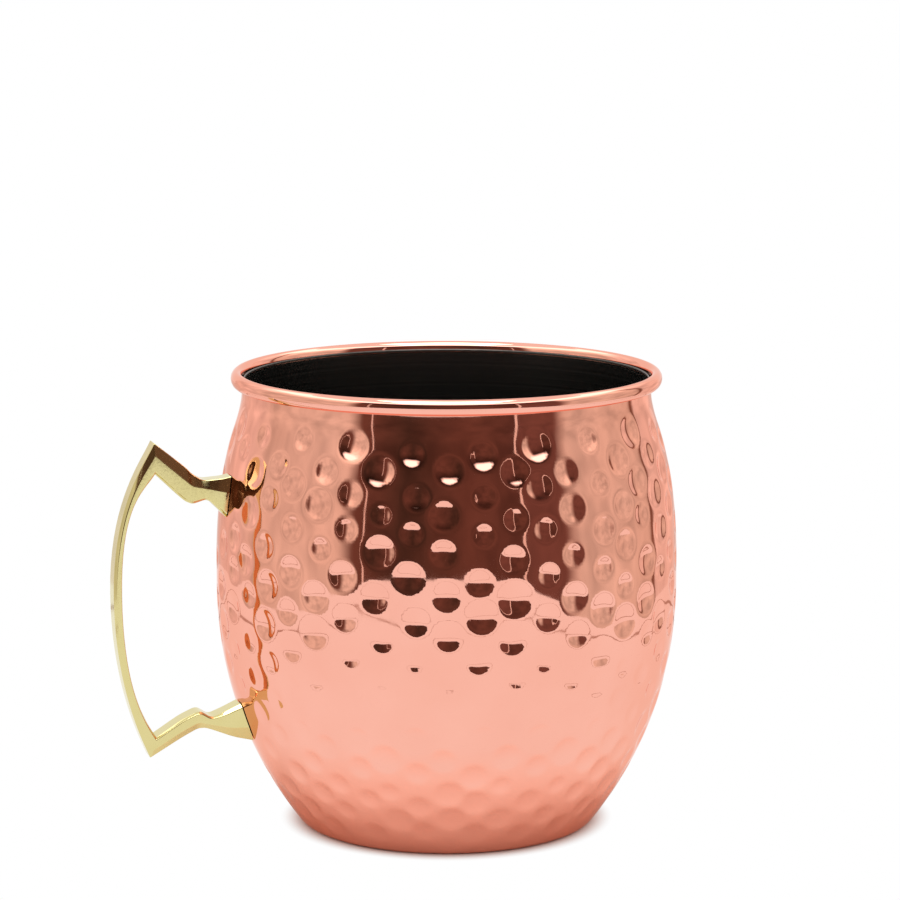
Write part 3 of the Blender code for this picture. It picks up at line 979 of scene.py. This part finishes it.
def room_paint():
    """The room's colours in soft-edged upright bands, with dim shapes in them. Towards the cove the dark
    bands get darker and the pale ones lighter."""
    made, tree, place = bare_material("room_paint")
    axes = add_node(tree, "ShaderNodeSeparateXYZ", {}, {"Vector": place})
    back = add_node(tree, "ShaderNodeMath", {"operation": "MULTIPLY"}, {0: axes.outputs["Y"], 1: -1.0})
    turn = add_node(
        tree,
        "ShaderNodeMath",
        {"operation": "ARCTAN2"},
        {0: axes.outputs["X"], 1: back.outputs["Value"]},
    )
    share = add_node(
        tree,
        "ShaderNodeMapRange",
        {},
        {"Value": turn.outputs["Value"], "From Min": VIEW_TURN - math.pi, "From Max": VIEW_TURN + math.pi},
    )
    bands = add_node(tree, "ShaderNodeValToRGB", {}, {"Fac": share.outputs["Result"]})
    ramp = bands.color_ramp.elements
    while len(ramp) < len(ROOM):
        ramp.new(1.0)
    for stop, (angle, color) in zip(ramp, ROOM):
        stop.position = (angle / 180 + 1) / 2
        stop.color = linear(color)
    cloud = add_node(
        tree,
        "ShaderNodeTexNoise",
        {},
        {"Vector": place, "Scale": 1 / ROOM_CLOUD, "Detail": ROOM_CLOUD_DETAIL},
    )
    level = add_node(
        tree,
        "ShaderNodeMapRange",
        {},
        {
            "Value": cloud.outputs["Fac"],
            "From Min": NOISE_LOW,
            "From Max": NOISE_HIGH,
            "To Min": ROOM_CLOUD_DIM,
            "To Max": ROOM_CLOUD_LIT,
        },
    )
    risen = add_node(
        tree,
        "ShaderNodeMapRange",
        {},
        {
            "Value": bands.outputs["Color"],
            "From Min": ROOM_DARK_TONE,
            "From Max": ROOM_PALE_TONE,
            "To Min": ROOM_DARK_RISE,
            "To Max": ROOM_PALE_RISE,
        },
    )
    rise = add_node(
        tree,
        "ShaderNodeMapRange",
        {},
        {
            "Value": axes.outputs["Z"],
            "From Min": ROOM_RISE_START,
            "From Max": ROOM_RISE_END,
            "To Min": 1.0,
            "To Max": risen.outputs["Result"],
        },
    )
    strength = add_node(
        tree,
        "ShaderNodeMath",
        {"operation": "MULTIPLY"},
        {0: level.outputs["Result"], 1: rise.outputs["Result"]},
    )
    glow = add_node(
        tree,
        "ShaderNodeEmission",
        {},
        {"Color": bands.outputs["Color"], "Strength": strength.outputs["Value"]},
    )
    cove = add_node(
        tree,
        "ShaderNodeMapRange",
        {"interpolation_type": "SMOOTHSTEP"},
        {"Value": axes.outputs["Z"], "From Min": COVE_START, "From Max": COVE_END},
    )
    light = add_node(tree, "ShaderNodeEmission", {}, {"Strength": COVE_LIGHT})
    mixed = add_node(
        tree,
        "ShaderNodeMixShader",
        {},
        {0: cove.outputs["Result"], 1: glow.outputs["Emission"], 2: light.outputs["Emission"]},
    )
    add_node(tree, "ShaderNodeOutputMaterial", {}, {"Surface": mixed.outputs["Shader"]})
    return made


bm = bmesh.new()
ends = [bm.verts.new((ROOM_RADIUS, 0.0, height)) for height in (ROOM_BOTTOM, ROOM_TOP)]
bmesh.ops.spin(
    bm,
    geom=[*ends, bm.edges.new(ends)],
    axis=(0.0, 0.0, 1.0),
    angle=math.tau,
    steps=ROOM_STEPS,
    use_merge=True,
)
for vert in bm.verts:
    turn = math.atan2(vert.co.x, -vert.co.y) - VIEW_TURN
    if math.cos(turn) < math.cos(ROOM_OPENING):
        vert.co.z = min(vert.co.z, 0.0)
only_mirrored(add_stage("room", bm, room_paint()))

# Two slim light tubes that stand in the dark front of the room: (angle from the camera's side, width)
TUBES = {"left_tube": (math.radians(-40.3), 0.030), "right_tube": (math.radians(37.7), 0.055)}
TUBE_RADIUS = 2.3
TUBE_BOTTOM, TUBE_TOP = -0.5, 1.25
TUBE_COLOR = "#F4E6DE"
TUBE_LIGHT = plain_glow("tube_light", TUBE_COLOR)
for name, (angle, width) in TUBES.items():
    bm = flat_sheet(width, TUBE_TOP - TUBE_BOTTOM)
    bmesh.ops.rotate(bm, verts=bm.verts, matrix=Matrix.Rotation(math.pi / 2, 3, "X"))
    bmesh.ops.translate(bm, verts=bm.verts, vec=(0.0, -TUBE_RADIUS, (TUBE_BOTTOM + TUBE_TOP) / 2))
    bmesh.ops.rotate(bm, verts=bm.verts, matrix=Matrix.Rotation(VIEW_TURN + angle, 3, "Z"))
    only_mirrored(add_stage(name, bm, TUBE_LIGHT))

# World: white to the eye and to the metal, and a softer fill on painted surfaces
WORLD_WHITE = "#FFFFFF"
WORLD_FILL = 0.95
world = bpy.data.worlds.new("studio")
world.use_nodes = True
bpy.context.scene.world = world
tree = world.node_tree
rays = add_node(tree, "ShaderNodeLightPath", {}, {})
seen = add_node(
    tree,
    "ShaderNodeMath",
    {"operation": "MAXIMUM"},
    {0: rays.outputs["Is Camera Ray"], 1: rays.outputs["Is Glossy Ray"]},
)
clear = add_node(
    tree,
    "ShaderNodeMath",
    {"operation": "MAXIMUM"},
    {0: seen.outputs["Value"], 1: rays.outputs["Is Transmission Ray"]},
)
level = add_node(
    tree,
    "ShaderNodeMapRange",
    {},
    {"Value": clear.outputs["Value"], "To Min": WORLD_FILL, "To Max": 1.0},
)
backdrop = tree.nodes["Background"]
backdrop.inputs["Color"].default_value = linear(WORLD_WHITE)
tree.links.new(level.outputs["Result"], backdrop.inputs["Strength"])

# Soft box above the front of the table
LAMP_DISTANCE = 1.7
LAMP_RISE = math.radians(75)
LAMP_SIZE = 1.1
LAMP_POWER = 18.0


def camera_side(distance, height):
    """Place this far from the barrel's axis, on the camera's side."""
    return (distance * math.sin(VIEW_TURN), -distance * math.cos(VIEW_TURN), height)


lamp_data = bpy.data.lights.new("soft_box", "AREA")
lamp_data.size = LAMP_SIZE
lamp_data.energy = LAMP_POWER
lamp = bpy.data.objects.new("soft_box", lamp_data)
lamp.location = camera_side(LAMP_DISTANCE * math.cos(LAMP_RISE), LAMP_DISTANCE * math.sin(LAMP_RISE))
lamp.rotation_euler = (math.pi / 2 - LAMP_RISE, 0.0, VIEW_TURN)
lamp.visible_camera = False
bpy.context.scene.collection.objects.link(lamp)

# Camera at the photograph's angle, fitted to the ellipses of the rim and the base
CAMERA_DISTANCE = 1.527
CAMERA_HEIGHT = 0.430
CAMERA_TILT = math.radians(9.49)
PHOTO_SIZE = 900
FOCAL_PIXELS = 3326
PHOTO_CENTER_X = 446.5
camera_data = bpy.data.cameras.new("camera")
camera_data.angle = 2 * math.atan(PHOTO_SIZE / 2 / FOCAL_PIXELS)
camera_data.shift_x = (PHOTO_SIZE / 2 - PHOTO_CENTER_X) / PHOTO_SIZE
camera = bpy.data.objects.new("camera", camera_data)
camera.location = camera_side(CAMERA_DISTANCE, CAMERA_HEIGHT)
camera.rotation_euler = (math.pi / 2 - CAMERA_TILT, 0.0, VIEW_TURN)
bpy.context.scene.collection.objects.link(camera)
bpy.context.scene.camera = camera
bpy.context.scene.view_settings.view_transform = "Standard"
